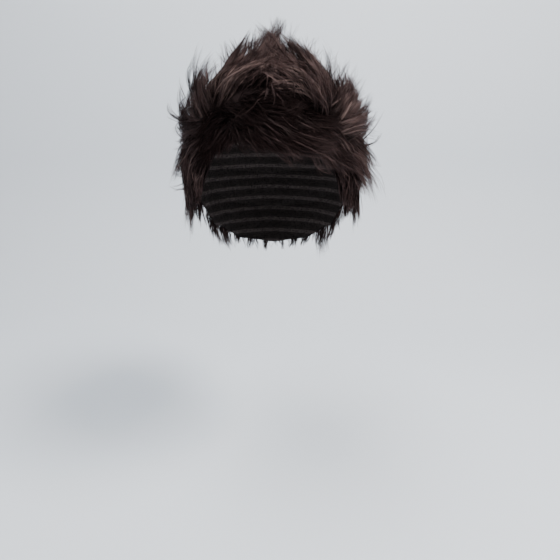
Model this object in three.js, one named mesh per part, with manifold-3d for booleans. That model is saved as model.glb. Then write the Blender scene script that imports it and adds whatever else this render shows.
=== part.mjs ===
// A short spiky wig with a raised crest: a thin hollow cap that fits over the head, and the hair sewn to it,
// one solid for each section of hair. A section is dense at the roots and breaks up into tapered locks.
// Millimetres, +Z up, face towards -Y, the wearer's left towards +X.
// The origin is the top of the head, where the crown of the cap sits on it.
import * as THREE from "three";
import { mergeVertices } from "three/addons/utils/BufferGeometryUtils.js";
import Module from "manifold-3d";

const wasm = await Module();
wasm.setup();

// Driving dimensions

// The head that the cap fits, an ellipsoid down to its widest level and drawn in towards the neck below that.
const HEAD = {
  halfBreadth: 77,
  front: 92, // from the ear line to the forehead
  back: 102, // from the ear line to the back of the head
  crown: 96, // from the widest level up to the top
  neckBreadthDraw: 0.25, // how fast the breadth draws in below the widest level
  neckLengthDraw: 0.43, // and the length
};
const CAP_WALL = 1.5;
const GAP = 0.3; // between the cap and the hair, and between neighbouring sections
const HEM = 1; // degrees of cap left bare along its edge
const FACET = 9; // degrees of azimuth to a facet
const FACET_SAG = 0.6; // how far a facet's middle lies inside the round form
const ROOT_FLOOR = CAP_WALL + GAP + FACET_SAG; // where the hair begins

// The cap's edge, from the middle of the forehead round the ear to the middle of the nape on both sides.
// A level is an angle down from the crown.
const CAP_EDGE = [
  { azimuth: 0, level: 66 },
  { azimuth: 26, level: 67 },
  { azimuth: 40, level: 78 },
  { azimuth: 50, level: 98 },
  { azimuth: 60, level: 104 },
  { azimuth: 72, level: 104 },
  { azimuth: 84, level: 101 },
  { azimuth: 100, level: 104 },
  { azimuth: 120, level: 124 },
  { azimuth: 150, level: 135 },
  { azimuth: 180, level: 138 },
];

// The patches of the cap that carry the sections. A patch with no bottom runs down to the cap's edge.
const SECTIONS = {
  crest_hair: { from: -180, to: 180, top: 0, bottom: 53, rows: 3 },
  fringe_hair: { from: -45, to: 45, top: 53, rows: 2 },
  left_side_hair: { from: 45, to: 117, top: 53, bottom: 82, rows: 2 },
  right_side_hair: { from: -117, to: -45, top: 53, bottom: 82, rows: 2 },
  left_sideburn: { from: 45, to: 81, top: 82, rows: 2 },
  right_sideburn: { from: -81, to: -45, top: 82, rows: 2 },
  back_hair: { from: 117, to: 243, top: 53, bottom: 82, rows: 2 },
  nape_hair: { from: 81, to: 279, top: 82, rows: 3 },
};

// The depth of the dense hair at the roots.
const ROOT_MASS = [
  { level: 0, depth: 13 },
  { level: 50, depth: 11 },
  { level: 66, depth: 8 },
  { level: 84, depth: 6 },
  { level: 110, depth: 4.5 },
  { level: 140, depth: 4 },
];
const EDGE_THINNING = { within: 14, depth: 3 }; // degrees from the cap's edge, and the depth left there
// The hollow in the front of the crest, under the two sides that meet over it: half its width in degrees of
// azimuth, the levels where it begins, is deepest and ends, and the depth of hair left in it.
const RECESS = { halfWidth: 30, top: 36, middle: 52, bottom: 62, depth: 4 };

// The ridge that the crest is combed up to, over the middle of the head from front to back.
const RIDGE = [
  { y: -64, z: -23 },
  { y: -46, z: -1 },
  { y: -36, z: 12 },
  { y: -24, z: 24 },
  { y: -12, z: 29 },
  { y: 10, z: 27 },
  { y: 40, z: 18 },
  { y: 70, z: 4 },
];
// Where on the ridge a lock ends, as a share of how far to the front or back it is rooted, then further back
// by a share of how far its root lies outside a distance from the middle.
const RIDGE_AIM = { front: 0.9, back: 1.35, outside: 38, outer: 0.8 };

// The wefts, rows of locks at one level of a section. A weft with a reach is combed that share of the way up
// to the ridge, with a bulge outwards. In any other a lock leaves the cap along start and ends along end: lift
// points out of the head, fall down over it, sweep round it to greater azimuths and rise straight up.
const WEFTS = [
  { section: "crest_hair", level: 8, from: 0, to: 0, locks: 1, length: 34, width: 30, depth: 26,
    start: { rise: 1 }, end: { rise: 1, sweep: 0.2 } },
  { section: "crest_hair", level: 30, from: -24, to: 24, locks: 2,
    reach: 1.1, bulge: 0.2, width: 28, depth: 20 },
  { section: "crest_hair", level: 24, from: 60, to: 120, locks: 3,
    reach: 1.12, bulge: 0.5, width: 30, depth: 20 },
  { section: "crest_hair", level: 24, from: -120, to: -60, locks: 3,
    reach: 1.1, bulge: 0.25, width: 30, depth: 20 },
  { section: "crest_hair", level: 46, from: 38, to: 62, locks: 2,
    reach: 0.94, bulge: 0.9, width: 30, depth: 18 },
  { section: "crest_hair", level: 46, from: -62, to: -38, locks: 2,
    reach: 0.94, bulge: 0.5, width: 30, depth: 18 },
  { section: "crest_hair", level: 48, from: 84, to: 112, locks: 2,
    reach: 0.84, bulge: 1.2, width: 44, depth: 20 },
  { section: "crest_hair", level: 48, from: -112, to: -84, locks: 2,
    reach: 0.84, bulge: 0.7, width: 44, depth: 20 },
  { section: "crest_hair", level: 24, from: 150, to: 210, locks: 2, length: 42, width: 34, depth: 20,
    start: { lift: 0.5, fall: 0.6 }, end: { fall: 1 } },
  { section: "crest_hair", level: 42, from: 134, to: 226, locks: 4, length: 48, width: 42, depth: 16,
    start: { lift: 0.35, fall: 0.9 }, end: { fall: 1 } },
  { section: "fringe_hair", level: 57, from: -18, to: 30, locks: 4, length: 52, width: 24, depth: 12,
    start: { lift: 0.3, sweep: 0.7, fall: 0.5 }, end: { lift: -0.3, sweep: 0.7, fall: 0.6 } },
  { section: "fringe_hair", level: 63, from: -20, to: 28, locks: 5, length: 50, width: 20, depth: 9,
    start: { lift: 0.1, sweep: 0.6, fall: 0.6 }, end: { lift: -0.3, sweep: 0.8, fall: 0.5 } },
  { section: "fringe_hair", level: 59, from: -38, to: -24, locks: 2, length: 44, width: 24, depth: 12,
    start: { lift: 0.3, fall: 0.7, sweep: -0.4 }, end: { lift: -0.1, fall: 1, sweep: -0.4 } },
  { section: "left_side_hair", level: 60, from: 58, to: 102, locks: 3, length: 46, width: 32, depth: 13,
    start: { lift: 0.55, rise: 0.5, sweep: 0.4 }, end: { rise: 0.8, lift: -0.3, sweep: 0.6 } },
  { section: "left_side_hair", level: 68, from: 54, to: 110, locks: 4, length: 52, width: 36, depth: 13,
    start: { lift: 0.2, fall: 0.9, sweep: 0.3 }, end: { lift: -0.2, fall: 1, sweep: 0.2 } },
  { section: "right_side_hair", level: 60, from: -104, to: -66, locks: 3, length: 48, width: 30, depth: 13,
    start: { lift: 0.7, rise: 0.5, sweep: -0.3 }, end: { rise: 1, lift: -0.2, sweep: -0.3 } },
  { section: "right_side_hair", level: 68, from: -110, to: -54, locks: 4, length: 52, width: 36, depth: 13,
    start: { lift: 0.15, fall: 0.9, sweep: -0.3 }, end: { lift: -0.2, fall: 1, sweep: -0.2 } },
  { section: "left_sideburn", level: 88, from: 54, to: 76, locks: 2, length: 31, width: 26, depth: 10,
    start: { lift: 0.3, fall: 1 }, end: { lift: -0.15, fall: 1 } },
  { section: "right_sideburn", level: 88, from: -76, to: -54, locks: 2, length: 31, width: 26, depth: 10,
    start: { lift: 0.3, fall: 1 }, end: { lift: -0.15, fall: 1 } },
  { section: "back_hair", level: 57, from: 128, to: 232, locks: 5, length: 58, width: 42, depth: 16,
    start: { lift: 0.45, fall: 0.8 }, end: { fall: 1 } },
  { section: "back_hair", level: 70, from: 130, to: 230, locks: 4, length: 52, width: 46, depth: 14,
    start: { lift: 0.35, fall: 0.9 }, end: { fall: 1 } },
  { section: "nape_hair", level: 88, from: 96, to: 264, locks: 6, length: 48, width: 40, depth: 13,
    start: { lift: 0.3, fall: 0.9 }, end: { lift: -0.1, fall: 1 } },
  { section: "nape_hair", level: 104, from: 120, to: 240, locks: 4, length: 44, width: 42, depth: 11,
    start: { lift: 0.25, fall: 1 }, end: { lift: -0.1, fall: 1 } },
  { section: "nape_hair", level: 121, from: 140, to: 220, locks: 4, length: 36, width: 26, depth: 9,
    start: { lift: 0.2, fall: 1 }, end: { lift: -0.1, fall: 1 } },
];
// How full a lock is from its root to near its tip, which is a point.
const LOCK_FULLNESS = [0.4, 0.85, 1, 0.65];
const LOCK_SIDES = 4;
const ROOT_SHARE = 0.4; // how far up the dense hair a lock's root lies
const LENGTH_SPREAD = 0.14; // how much neighbouring locks differ in length, as a share
const LEAN_SPREAD = 0.16; // and in direction

const HAIR_COLOUR = 0x2c211f;
const CAP_COLOUR = 0x1b1716;

// The head

const { degToRad, euclideanModulo, lerp, smoothstep } = THREE.MathUtils;

// A point on the head, or offset out from it.
function headPoint(azimuth, level, offset = 0) {
  const turn = degToRad(azimuth);
  const upper = degToRad(Math.min(level, 90));
  const below = degToRad(Math.max(level - 90, 0));
  const reach = Math.cos(turn) > 0 ? HEAD.front : HEAD.back;
  const breadth = (HEAD.halfBreadth * (1 - HEAD.neckBreadthDraw * below ** 2) + offset) * Math.sin(upper);
  const length = (reach * (1 - HEAD.neckLengthDraw * below ** 2) + offset) * Math.sin(upper);
  return new THREE.Vector3(
    breadth * Math.sin(turn),
    -length * Math.cos(turn),
    (HEAD.crown + offset) * Math.cos(upper) - HEAD.crown * (1 + below),
  );
}

// The directions at a point of the head: out of it, down over it and round it.
function headAxes(azimuth, level) {
  const step = 0.5;
  const down = headPoint(azimuth, level + step).sub(headPoint(azimuth, level - step)).normalize();
  const around = headPoint(azimuth + step, level).sub(headPoint(azimuth - step, level)).normalize();
  return { down, around, out: down.clone().cross(around).normalize() };
}

// A value read from a table, eased from row to row.
function eased(table, key, value, at) {
  const next = Math.max(1, table.findIndex((row) => row[key] >= at));
  const [a, b] = [table[next - 1], table[next]];
  return lerp(a[value], b[value], smoothstep(at, a[key], b[key]));
}

// How far round the head an azimuth is from the front, 0 to 180 on either side.
function fromFront(azimuth) {
  return Math.abs(euclideanModulo(azimuth + 180, 360) - 180);
}

// How far down the cap reaches at an azimuth.
function edgeLevel(azimuth) {
  return eased(CAP_EDGE, "azimuth", "level", fromFront(azimuth));
}

// The share of the front recess at a point of the cap, 1 where it is deepest.
function recessAt(azimuth, level) {
  const { halfWidth, top, middle, bottom } = RECESS;
  const across = 1 - smoothstep(fromFront(azimuth), halfWidth / 2, halfWidth);
  return across * (smoothstep(level, top, middle) - smoothstep(level, middle, bottom));
}

// The depth of the dense hair at a point of the cap.
function rootDepth(azimuth, level) {
  const full = lerp(eased(ROOT_MASS, "level", "depth", level), RECESS.depth, recessAt(azimuth, level));
  const inside = smoothstep(edgeLevel(azimuth) - level, 0, EDGE_THINNING.within);
  return lerp(Math.min(EDGE_THINNING.depth, full), full, inside);
}

// Solids

// A geometry from its points and triangles.
function geometryFrom(points, triangles) {
  return new THREE.BufferGeometry().setFromPoints(points).setIndex(triangles);
}

// A manifold-3d solid from a closed geometry.
function solidOf(geometry) {
  const merged = mergeVertices(geometry);
  return new wasm.Manifold(
    new wasm.Mesh({
      numProp: 3,
      vertProperties: new Float32Array(merged.getAttribute("position").array),
      triVerts: new Uint32Array(merged.index.array),
    }),
  );
}

// A geometry from a manifold-3d solid.
function geometryOf(solid) {
  const { vertProperties, triVerts } = solid.getMesh();
  const geometry = new THREE.BufferGeometry();
  geometry.setAttribute("position", new THREE.BufferAttribute(vertProperties, 3));
  geometry.setIndex(new THREE.BufferAttribute(triVerts, 1));
  geometry.computeVertexNormals();
  return geometry;
}

// The two triangles of a four-sided face.
const quad = (a, b, c, d) => [a, b, c, a, c, d];

// A wall over the crown. inner and outer give its two offsets and bottom its lowest level.
function domeWall({ inner, outer, bottom }, columns, rows) {
  const points = [];
  for (const offset of [outer, inner]) {
    points.push(headPoint(0, 0, offset(0, 0)));
    for (let row = 1; row <= rows; row++) {
      for (let column = 0; column < columns; column++) {
        const azimuth = (360 * column) / columns;
        const level = (bottom(azimuth) * row) / rows;
        points.push(headPoint(azimuth, level, offset(azimuth, level)));
      }
    }
  }
  const layer = 1 + rows * columns;
  const out = (row, column) => (row ? 1 + (row - 1) * columns + (column % columns) : 0);
  const into = (row, column) => layer + out(row, column);
  const triangles = [];
  for (let column = 0; column < columns; column++) {
    const beside = column + 1;
    triangles.push(out(0, 0), out(1, column), out(1, beside));
    triangles.push(into(0, 0), into(1, beside), into(1, column));
    for (let row = 1; row < rows; row++) {
      triangles.push(...quad(out(row, column), out(row + 1, column), out(row + 1, beside), out(row, beside)));
      triangles.push(
        ...quad(into(row, beside), into(row + 1, beside), into(row + 1, column), into(row, column)),
      );
    }
    triangles.push(...quad(out(rows, column), into(rows, column), into(rows, beside), out(rows, beside)));
  }
  return geometryFrom(points, triangles);
}

// A wall over a patch of the head, from one azimuth to another and from its top level to its bottom.
function patchWall({ from, to, top, inner, outer, bottom }, columns, rows) {
  const points = [];
  for (const offset of [outer, inner]) {
    for (let row = 0; row <= rows; row++) {
      for (let column = 0; column <= columns; column++) {
        const azimuth = lerp(from, to, column / columns);
        const level = lerp(top, bottom(azimuth), row / rows);
        points.push(headPoint(azimuth, level, offset(azimuth, level)));
      }
    }
  }
  const out = (row, column) => row * (columns + 1) + column;
  const into = (row, column) => (rows + 1) * (columns + 1) + out(row, column);
  const triangles = [];
  for (let row = 0; row < rows; row++) {
    const under = row + 1;
    for (let column = 0; column < columns; column++) {
      const beside = column + 1;
      triangles.push(...quad(out(row, column), out(under, column), out(under, beside), out(row, beside)));
      triangles.push(...quad(into(row, beside), into(under, beside), into(under, column), into(row, column)));
    }
    triangles.push(...quad(out(under, 0), out(row, 0), into(row, 0), into(under, 0)));
    triangles.push(
      ...quad(out(row, columns), out(under, columns), into(under, columns), into(row, columns)),
    );
  }
  for (let column = 0; column < columns; column++) {
    const beside = column + 1;
    triangles.push(...quad(out(0, column), out(0, beside), into(0, beside), into(0, column)));
    triangles.push(...quad(out(rows, beside), out(rows, column), into(rows, column), into(rows, beside)));
  }
  return geometryFrom(points, triangles);
}

// Locks

// A steady number from -1 to 1 for each seed.
function wobble(seed) {
  const wave = Math.sin(seed * 12.9898) * 43758.5453;
  return 2 * (wave - Math.floor(wave)) - 1;
}

// The direction that a weft's start or end gives at a root.
function direction(axes, lean, seed) {
  const { lift = 0, fall = 0, sweep = 0, rise = 0 } = lean;
  return new THREE.Vector3(0, 0, rise)
    .addScaledVector(axes.out, lift)
    .addScaledVector(axes.down, fall)
    .addScaledVector(axes.around, sweep + LEAN_SPREAD * wobble(seed))
    .normalize();
}

// The bend and the tip of a lock that leaves its root along start and ends along end.
function leaningLine(weft, root, axes, seed) {
  const half = (weft.length * (1 + LENGTH_SPREAD * wobble(seed + 0.3))) / 2;
  const bend = root.clone().addScaledVector(direction(axes, weft.start, seed + 0.5), half);
  const tip = bend.clone().addScaledVector(direction(axes, weft.end, seed + 0.7), half);
  return [bend, tip];
}

// The bend and the tip of a lock that is combed up to the ridge.
function ridgeLine(weft, root, axes, seed) {
  const { front, back, outside, outer } = RIDGE_AIM;
  const along = root.y * (root.y < 0 ? front : back) + outer * Math.max(Math.abs(root.x) - outside, 0);
  const ridge = new THREE.Vector3(0, along, eased(RIDGE, "y", "z", along));
  const reach = weft.reach * (1 + (LENGTH_SPREAD / 3) * wobble(seed + 0.3));
  const way = ridge.sub(root).multiplyScalar(reach);
  const start = way.clone().normalize().addScaledVector(axes.out, weft.bulge).normalize();
  return [root.clone().addScaledVector(start, way.length() / 2), root.clone().add(way)];
}

// The locks of a weft: the middle line of each, and the direction that it is broad in.
function locksOf(weft, weftNumber) {
  return Array.from({ length: weft.locks }, (_, index) => {
    const seed = 100 * weftNumber + index + 1;
    const azimuth = lerp(weft.from, weft.to, index / Math.max(weft.locks - 1, 1));
    const axes = headAxes(azimuth, weft.level);
    const root = headPoint(azimuth, weft.level, ROOT_FLOOR + rootDepth(azimuth, weft.level) * ROOT_SHARE);
    const [bend, tip] = weft.reach ? ridgeLine(weft, root, axes, seed) : leaningLine(weft, root, axes, seed);
    const chord = tip.clone().sub(root);
    const upright = Math.abs(chord.dot(axes.around)) < Math.abs(chord.dot(axes.down));
    return {
      line: new THREE.QuadraticBezierCurve3(root, bend, tip),
      broad: upright ? axes.around : axes.down,
      width: weft.width,
      depth: weft.depth,
    };
  });
}

// A lock as a closed tube of oval sections that ends in a point, grown by a margin all round.
function lockSolid({ line, broad, width, depth }, margin) {
  const points = [line.getPoint(0)];
  LOCK_FULLNESS.forEach((fullness, step) => {
    const share = step / LOCK_FULLNESS.length;
    const along = line.getTangent(share);
    const across = broad.clone().addScaledVector(along, -broad.dot(along)).normalize();
    const through = along.clone().cross(across);
    for (let side = 0; side < LOCK_SIDES; side++) {
      const turn = (2 * Math.PI * side) / LOCK_SIDES;
      points.push(
        line
          .getPoint(share)
          .addScaledVector(across, ((width / 2) * fullness + margin) * Math.cos(turn))
          .addScaledVector(through, ((depth / 2) * fullness + margin) * Math.sin(turn)),
      );
    }
  });
  const tip = points.length;
  points.push(line.getPoint(1).addScaledVector(line.getTangent(1), margin));
  const at = (step, side) => 1 + step * LOCK_SIDES + (side % LOCK_SIDES);
  const last = LOCK_FULLNESS.length - 1;
  const triangles = [];
  for (let side = 0; side < LOCK_SIDES; side++) {
    triangles.push(0, at(0, side + 1), at(0, side));
    for (let step = 0; step < last; step++) {
      triangles.push(...quad(at(step, side), at(step, side + 1), at(step + 1, side + 1), at(step + 1, side)));
    }
    triangles.push(at(last, side), at(last, side + 1), tip);
  }
  return solidOf(geometryFrom(points, triangles));
}

// Sections of hair

// The dense hair at a section's roots, grown by a margin all round.
function rootSolid({ from, to, top, bottom = Infinity, rows }, margin) {
  const inset = THREE.MathUtils.radToDeg((GAP / 2 - margin) / HEAD.halfBreadth);
  const wall = {
    inner: () => ROOT_FLOOR - margin,
    outer: (azimuth, level) => ROOT_FLOOR + rootDepth(azimuth, level) + margin,
    bottom: (azimuth) => Math.min(bottom, edgeLevel(azimuth) - HEM) - inset,
  };
  const columns = Math.round((to - from) / FACET);
  if (top === 0) {
    return solidOf(domeWall(wall, columns, rows));
  }
  return solidOf(patchWall({ ...wall, from: from + inset, to: to - inset, top: top + inset }, columns, rows));
}

// A whole section, its locks fused to the dense hair at their roots.
function hairSolid(name, margin) {
  const wefts = WEFTS.map((weft, number) => (weft.section === name ? locksOf(weft, number) : []));
  const roots = rootSolid(SECTIONS[name], margin);
  return wefts.flat().reduce((hair, lock) => hair.add(lockSolid(lock, margin)), roots);
}

// The largest piece of a solid that cutting has parted.
function largest(solid) {
  return solid.decompose().reduce((a, b) => (b.volume() > a.volume() ? b : a));
}

// The wig

const CAP_COLUMNS = 360 / FACET;
const CAP_ROWS = 6;
// How far into the head and below the cap's edge the hair stays out.
const KEEP_CLEAR = { inside: 15, below: 0.4 };

const wig = new THREE.Group();

function addPart(name, geometry, color, roughness) {
  const part = new THREE.Mesh(geometry, new THREE.MeshStandardMaterial({ color, roughness, metalness: 0 }));
  part.name = name;
  wig.add(part);
}

const cap = { inner: () => 0, outer: () => CAP_WALL, bottom: edgeLevel };
addPart("wig_cap", domeWall(cap, CAP_COLUMNS, CAP_ROWS), CAP_COLOUR, 0.9);

// The space that a section may not enter: the head with the cap on it, then each section made before it.
const head = {
  inner: () => -KEEP_CLEAR.inside,
  outer: () => CAP_WALL + GAP,
  bottom: (azimuth) => edgeLevel(azimuth) + KEEP_CLEAR.below,
};
let taken = solidOf(domeWall(head, CAP_COLUMNS, CAP_ROWS));
for (const name of Object.keys(SECTIONS)) {
  addPart(name, geometryOf(largest(hairSolid(name, 0).subtract(taken))), HAIR_COLOUR, 0.5);
  taken = taken.add(hairSolid(name, GAP));
}

export default wig;
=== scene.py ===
"""Looks of the short spiky wig: every section of hair as fine strands, combed as the solids' locks are."""

import math

import bpy
import numpy as np
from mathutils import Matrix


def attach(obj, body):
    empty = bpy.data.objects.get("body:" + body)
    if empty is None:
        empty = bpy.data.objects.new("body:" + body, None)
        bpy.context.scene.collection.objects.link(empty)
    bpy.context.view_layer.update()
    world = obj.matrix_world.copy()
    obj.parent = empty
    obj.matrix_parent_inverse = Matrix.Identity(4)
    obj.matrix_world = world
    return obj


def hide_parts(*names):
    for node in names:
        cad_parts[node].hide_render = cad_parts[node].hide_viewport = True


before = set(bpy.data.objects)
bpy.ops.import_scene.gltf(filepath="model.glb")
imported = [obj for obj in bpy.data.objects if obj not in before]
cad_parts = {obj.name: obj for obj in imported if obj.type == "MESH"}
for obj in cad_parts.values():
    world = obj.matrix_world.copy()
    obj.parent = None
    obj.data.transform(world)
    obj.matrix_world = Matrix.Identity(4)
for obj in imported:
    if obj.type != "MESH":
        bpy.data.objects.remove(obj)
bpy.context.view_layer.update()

# The head that the cap fits, in metres: half its breadth, its reach to the front and the back, and the
# crown's height over its widest level. Below that level it draws in, by these shares one radian down.
HALF_BREADTH = 0.077
REACH_FRONT = 0.092
REACH_BACK = 0.102
CROWN = 0.096
BREADTH_DRAW = 0.25
LENGTH_DRAW = 0.43

# How far the cap's outside is from the head, in metres.
CAP_OUTSIDE = 0.0019

# Degrees down from the crown to the cap's edge, by azimuth: 0 is the front and 90 the wearer's left.
CAP_EDGE = (
    (0, 66), (26, 67), (40, 78), (50, 98), (60, 104), (72, 104),
    (84, 101), (100, 104), (120, 124), (150, 135), (180, 138),
)

# Depth in metres of the dense hair near the roots, by degrees down from the crown. A strand has risen to
# its place in it at this share of its length.
ROOT_MASS = ((0, 0.013), (50, 0.011), (66, 0.008), (84, 0.006), (110, 0.0045), (140, 0.004))
MASS_RISE = 0.3

# Places along each strand, from the root to the tip.
STATIONS = np.array([0.0, 0.16, 0.33, 0.51, 0.69, 0.86, 1.0])

# How many fine strands are in a streak, streaks in a wisp and wisps in a lock.
STRANDS_PER_STREAK = 6
STREAKS_PER_WISP = 6
WISPS_PER_LOCK = 8

# Steps that spread roots evenly both ways, how much they crowd to the cap's edge, and how many degrees
# they keep from it. Wisps are spread from this much of a step on, so that none is rooted where a lock is.
EVEN_STEPS = (0.7548776662, 0.5698402910)
EDGE_CROWDING = 1.5
EDGE_MARGIN = 0.5
WISP_STEP = 0.5

# How a row of combing is picked for a lock: over how many degrees rows mix, how much is left to chance,
# the cosine between the ways of rows that mix, and the level above which azimuths get no closer.
LEAN_MIX = 6.0
ROW_CHANCE = 1.0
SAME_WAY = 0.2
SPREADING_LEVEL = 12

# How locks and wisps differ, as shares of their length: how loosely wisps are combed, how much more so at
# the tip, and how much shorter a lock or a wisp may be. It may be longer by this part of that.
WISP_LOOSE = 0.16
TIP_LOOSE = 1.6
LOCK_SHORT = 0.2
WISP_SHORT = 0.25
LONGER = 0.4

# How far wisps are drawn to their lock, and what part of the way between their roots is left there.
LOCK_DRAW = 0.68
LOCK_SHIFT = 0.5

# The share of wisps with tips that lift off, and how far they do so, as a share of the section's most.
LIFTED = 0.3
LIFT_RANGE = (0.3, 1.0)

# How a wisp splits into streaks and a streak into strands: rooted so many degrees from the middle, drawn
# to it at the tip by a share, bent aside by a share of the length, and waved by so many metres.
STREAK = {"spread": 2.6, "draw": 0.75, "bend": 0.06, "wave": 0.0012}
STRAND = {"spread": 0.35, "draw": 0.5, "bend": 0.02, "wave": 0.0003}

# Each is drawn by a part of that share, which grows along it with this power, and is shorter by up to the
# square of the last number.
DRAW_RANGE = (0.6, 1.0)
DRAW_POWER = 0.9
SHORTENING = 0.4

# The share of streaks that stray. They are drawn in less by this share, and are more bent and thinner.
STRAYS = 0.12
STRAY_FREEDOM = 0.9
STRAY_BEND = 0.09
STRAY_THINNING = 0.3

# Waves in metres of a wisp and of a lock that are this long, how much larger they get on longer ones, and
# how many turns they have.
WAVE = 0.0030
LOCK_WAVE = 0.0040
LONG_STRAND = 0.05
MOST_WAVE = 1.2
WAVE_TURNS = (0.5, 1.3)

# What strays sideways loses this share of its outward part.
SCALP_HUG = 0.75

# Tones go from 0, the darkest, to 1: the usual one, how far it varies, and the one below which hair is
# duller: the darkest at random and that darkened as painted shade.
TONE = 0.42
TONE_SPREAD = {"lock": 0.12, "wisp": 0.12, "streak": 0.2, "strand": 0.07}
DARKEST_AND_SHADED_TONE = 0.06

# A strand's width in metres, and the range of its factor. Along the strand it starts at a share of that,
# swells by another share in the first part of the length, and has lost the last share at the tip.
STRAND_WIDTH = 0.00034
WIDTH_RANGE = (0.8, 1.15)
ROOT_WIDTH = 0.75
BELLY = 0.25
BELLY_TURN = 1.4
TIP_LOSS = 0.55

# Where strands lie on their map: their tone and their two edges across, and their length along.
STRAND_MAP = "OFBake"
MAP_TONE = 0.94
MAP_EDGES = (0.01, 0.05)
MAP_LENGTH = 0.98
MAP_START = 0.01

# Seeds of the first section: its strands, and the way that they are rolled.
STRAND_SEED = 11
ROLL_SEED = 31

# The least that anything is divided by.
TINY = 1e-9

# Each section: azimuths from and to, degrees down from the crown at its top and bottom, how many strands
# it has, how far its locks stray from the way they are combed, and how far the tips of some wisps lift
# off. A bottom of None is the cap's edge.
SECTION_COLUMNS = ("from", "to", "top", "bottom", "strands", "tousle", "lift_off")
SECTION_ROWS = {
    "crest_hair": (-180, 180, 1, 53, 17400, 0.33, 0.006),
    "fringe_hair": (-45, 45, 53, None, 11000, 0.24, 0.003),
    "left_side_hair": (45, 117, 53, 82, 9500, 0.30, 0.006),
    "right_side_hair": (-117, -45, 53, 82, 9500, 0.26, 0.004),
    "left_sideburn": (45, 81, 82, None, 3600, 0.16, 0.002),
    "right_sideburn": (-81, -45, 82, None, 3600, 0.16, 0.001),
    "back_hair": (117, 243, 53, 82, 12000, 0.26, 0.006),
    "nape_hair": (81, 279, 82, None, 14000, 0.20, 0.004),
}
SECTIONS = {name: dict(zip(SECTION_COLUMNS, row)) for name, row in SECTION_ROWS.items()}


def lean(lift=0.0, fall=0.0, sweep=0.0, rise=0.0, gather=0.0):
    """A lean outwards, down the scalp, round it to the greater azimuth, upwards and to the middle."""
    return (lift, fall, sweep, rise, gather)


# The line that the crest is combed up to, from front to back: places along Y and heights, in metres.
RIDGE = (
    (-0.056, -0.012), (-0.046, 0.003), (-0.036, 0.017), (-0.024, 0.030), (-0.012, 0.036),
    (0.010, 0.032), (0.040, 0.019), (0.070, 0.004), (0.100, -0.020),
)

# Hair is combed to the ridge at its root's place along Y times a factor, for roots in front and behind.
# Roots that are further aside than this many metres are combed further back, by a share of the rest.
FRONT_DRAW = 0.9
BACK_SPREAD = 1.35
ASIDE = 0.038
ASIDE_DRAW = 0.8

# It ends at a share of its distance from the middle, by place along Y, on a roof that falls from the
# ridge by this slope. On the wearer's left the share is greater by a factor. ARC is a strand's length to
# the way that it goes.
RIDGE_SPREAD = ((-0.056, 0.05), (-0.040, 0.2), (-0.024, 0.4), (0.010, 0.45))
ROOF_SLOPE = 0.6
LEFT_FULLNESS = 1.35
ARC = 1.05
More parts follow.
